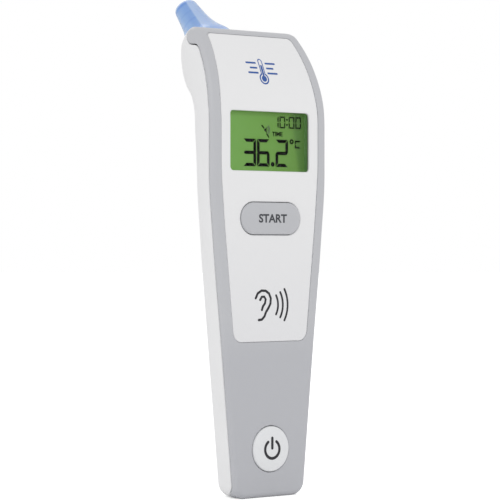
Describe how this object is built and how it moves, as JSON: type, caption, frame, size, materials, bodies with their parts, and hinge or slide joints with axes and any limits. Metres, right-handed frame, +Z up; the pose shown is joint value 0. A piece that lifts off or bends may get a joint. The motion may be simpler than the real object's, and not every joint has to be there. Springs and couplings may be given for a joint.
{
  "type": "digital ear thermometer",
  "caption": "Handheld infrared ear thermometer with a lit display, two keys, a coin cell door and a tilted probe under a pull-off cover.",
  "frame": {"origin": "centre of the flat base that the thermometer stands on", "axes": "+Z up the handle, -Y out of the display side, +X to the right when the display faces the viewer"},
  "size_m": [0.04, 0.0421, 0.14],
  "materials": {
    "white_shell": "moulded white ABS, satin",
    "grey_cover": "moulded light grey ABS, fine texture",
    "white_panel": "smooth white overlay panel",
    "clear_lens": "clear polished acrylic",
    "light_guide": "clear acrylic light guide",
    "lcd_green": "backlit green liquid crystal",
    "key_grey": "satin grey key",
    "key_white": "satin white key",
    "cover_blue": "translucent blue polyethylene, thin",
    "probe_blue": "moulded blue plastic",
    "natural_plastic": "natural moulded plastic",
    "rubber": "black elastomer",
    "board_green": "green glass-epoxy board",
    "chip_black": "black moulded epoxy",
    "flex_amber": "amber polyimide film",
    "steel": "nickel-plated steel",
    "gold": "gold-plated metal",
    "aluminium": "machined aluminium"
  },
  "bodies": {
    "housing": {"front_cover": "grey_cover", "rear_shell": "white_shell", "face_panel": "white_panel", "case_screw_1": "steel", "case_screw_2": "steel", "case_screw_3": "steel", "display_window": "clear_lens", "display_gasket": "rubber", "lcd_frame": "natural_plastic", "lcd_glass": "lcd_green", "backlight_guide": "light_guide", "lcd_connector": "rubber", "backlight_led_left": "natural_plastic", "backlight_led_right": "natural_plastic", "start_switch": "steel", "power_switch": "steel", "main_board": "board_green", "board_screw_1": "steel", "board_screw_2": "steel", "controller_chip": "chip_black", "memory_chip": "chip_black", "crystal": "steel", "capacitor_1": "chip_black", "capacitor_2": "chip_black", "buzzer": "chip_black", "flex_connector": "natural_plastic", "battery_holder": "natural_plastic", "battery": "steel", "battery_contact_positive": "steel", "battery_contact_negative": "steel", "probe_collar": "grey_cover", "probe_barrel": "probe_blue", "probe_seal": "rubber", "probe_window": "clear_lens", "waveguide": "gold", "thermopile_can": "steel", "sensor_header": "gold", "sensor_heatsink": "aluminium", "sensor_board": "board_green", "sensor_flex": "flex_amber"},
    "start_key": {"start_button": "key_grey"},
    "start_contact": {"start_plunger": "rubber"},
    "power_key": {"power_button": "key_white"},
    "power_contact": {"power_plunger": "rubber"},
    "door": {"battery_door": "white_shell"},
    "door_fastener": {"door_screw": "steel"},
    "tip_cover": {"probe_cover": "cover_blue"}
  },
  "joints": [
    {"name": "start_press", "type": "slide", "parent": "housing", "child": "start_key", "axis": [0, 1, 0], "range_m": [0, 0.0006], "stiffness_N_per_m": 600},
    {"name": "start_contact_press", "type": "slide", "parent": "housing", "child": "start_contact", "axis": [0, 1, 0], "range_m": [0, 0.0006], "stiffness_N_per_m": 600},
    {"name": "power_press", "type": "slide", "parent": "housing", "child": "power_key", "axis": [0, 1, 0], "range_m": [0, 0.0006], "stiffness_N_per_m": 600},
    {"name": "power_contact_press", "type": "slide", "parent": "housing", "child": "power_contact", "axis": [0, 1, 0], "range_m": [0, 0.0006], "stiffness_N_per_m": 600},
    {"name": "door_swing", "type": "hinge", "parent": "housing", "child": "door", "pos_m": [0, 0.0098, 0.02775], "axis": [-1, 0, 0], "range_deg": [0, 70]},
    {"name": "door_screw_turn", "type": "hinge", "parent": "door", "child": "door_fastener", "pos_m": [0, 0.008, 0.05935], "axis": [0, 1, 0], "continuous": true},
    {"name": "tip_cover_pull", "type": "slide", "parent": "housing", "child": "tip_cover", "axis": [0, 0.7071, 0.7071], "range_m": [0, 0.03]}
  ],
  "couplings": [
    {"joint": "start_contact_press", "follows": "start_press", "ratio": 1},
    {"joint": "power_contact_press", "follows": "power_press", "ratio": 1}
  ]
}
